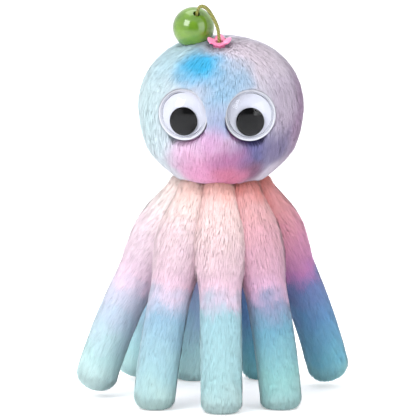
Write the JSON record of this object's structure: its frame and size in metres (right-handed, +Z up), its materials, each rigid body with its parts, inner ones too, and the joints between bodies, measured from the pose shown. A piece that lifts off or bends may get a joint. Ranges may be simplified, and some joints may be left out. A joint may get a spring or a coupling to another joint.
{
  "type": "plush octopus charm",
  "caption": "Stuffed plush octopus with wiggle eyes, drooping arms, a small flower on its crown and a bead on a doubled cord.",
  "frame": {"origin": "middle of the underside of the bounding box, on the plane that the lowest arm tips stand on", "axes": "+Z up, front (the eyes) toward -Y, +X to the viewer's right"},
  "size_m": [0.1243, 0.1046, 0.1917],
  "materials": {
    "plush": "matte",
    "filling": "matte",
    "backing_cloth": "matte",
    "thread": "matte",
    "white_plastic": "gloss",
    "clear_plastic": "gloss",
    "black_plastic": "satin",
    "washer_plastic": "satin",
    "flower_felt": "matte",
    "cord": "satin",
    "bead_gloss": "gloss"
  },
  "bodies": {
    "head": {"head_cover": "plush", "head_base": "backing_cloth", "head_filling": "filling", "neck_thread": "thread", "arm_stitches": "thread", "eye_cup_left": "white_plastic", "eye_cup_right": "white_plastic", "eye_dome_left": "clear_plastic", "eye_dome_right": "clear_plastic", "eye_washer_left": "washer_plastic", "eye_washer_right": "washer_plastic", "flower": "flower_felt"},
    "cord": {"cord_anchor": "washer_plastic", "cord_strand_front": "cord", "cord_strand_back": "cord", "cord_knot": "cord"},
    "bead": {"bead": "bead_gloss"},
    "pupil_left": {"eye_pupil_left": "black_plastic"},
    "pupil_right": {"eye_pupil_right": "black_plastic"},
    "arm_front": {"arm_front_cover": "plush", "arm_front_filling": "filling"},
    "arm_front_right": {"arm_front_right_cover": "plush", "arm_front_right_filling": "filling"},
    "arm_right": {"arm_right_cover": "plush", "arm_right_filling": "filling"},
    "arm_rear_right": {"arm_rear_right_cover": "plush", "arm_rear_right_filling": "filling"},
    "arm_rear": {"arm_rear_cover": "plush", "arm_rear_filling": "filling"},
    "arm_rear_left": {"arm_rear_left_cover": "plush", "arm_rear_left_filling": "filling"},
    "arm_left": {"arm_left_cover": "plush", "arm_left_filling": "filling"},
    "arm_front_left": {"arm_front_left_cover": "plush", "arm_front_left_filling": "filling"}
  },
  "joints": [
    {"name": "arm_front_root", "type": "hinge", "parent": "head", "child": "arm_front", "pos_m": [0.00445, -0.01586, 0.1015], "axis": [-0.9945, -0.1045, 0], "range_deg": [-5, 55], "stiffness_Nm_per_rad": 0.06},
    {"name": "arm_front_right_root", "type": "hinge", "parent": "head", "child": "arm_front_right", "pos_m": [0.01604, -0.01106, 0.1015], "axis": [-0.7314, -0.682, 0], "range_deg": [-5, 55], "stiffness_Nm_per_rad": 0.06},
    {"name": "arm_right_root", "type": "hinge", "parent": "head", "child": "arm_right", "pos_m": [0.02084, 0.00053, 0.1015], "axis": [0.6157, -0.788, 0], "range_deg": [-5, 55], "stiffness_Nm_per_rad": 0.06},
    {"name": "arm_rear_right_root", "type": "hinge", "parent": "head", "child": "arm_rear_right", "pos_m": [0.01604, 0.01213, 0.1015], "axis": [0.9848, -0.1736, 0], "range_deg": [-5, 55], "stiffness_Nm_per_rad": 0.06},
    {"name": "arm_rear_root", "type": "hinge", "parent": "head", "child": "arm_rear", "pos_m": [0.00445, 0.01693, 0.1015], "axis": [0.8387, 0.5446, 0], "range_deg": [-5, 55], "stiffness_Nm_per_rad": 0.06},
    {"name": "arm_rear_left_root", "type": "hinge", "parent": "head", "child": "arm_rear_left", "pos_m": [-0.00715, 0.01213, 0.1015], "axis": [0.6293, 0.7771, 0], "range_deg": [-5, 55], "stiffness_Nm_per_rad": 0.06},
    {"name": "arm_left_root", "type": "hinge", "parent": "head", "child": "arm_left", "pos_m": [-0.01195, 0.00053, 0.1015], "axis": [-0.1908, 0.9816, 0], "range_deg": [-5, 55], "stiffness_Nm_per_rad": 0.06},
    {"name": "arm_front_left_root", "type": "hinge", "parent": "head", "child": "arm_front_left", "pos_m": [-0.00715, -0.01106, 0.1015], "axis": [-0.8192, 0.5736, 0], "range_deg": [-5, 55], "stiffness_Nm_per_rad": 0.06},
    {"name": "pupil_left_roll", "type": "hinge", "parent": "head", "child": "pupil_left", "pos_m": [-0.01095, -0.03007, 0.1421], "axis": [-0.2588, -0.9659, 0], "continuous": true},
    {"name": "pupil_right_roll", "type": "hinge", "parent": "head", "child": "pupil_right", "pos_m": [0.01985, -0.03007, 0.1421], "axis": [0.2588, -0.9659, 0], "continuous": true},
    {"name": "cord_swivel", "type": "hinge", "parent": "head", "child": "cord", "pos_m": [0.00445, -0.01156, 0.16872], "axis": [0, -0.2419, 0.9703], "range_deg": [-180, 180]},
    {"name": "bead_spin", "type": "hinge", "parent": "cord", "child": "bead", "pos_m": [-0.00855, -0.00229, 0.17928], "axis": [-0.1863, 0.5959, -0.7812], "continuous": true}
  ]
}
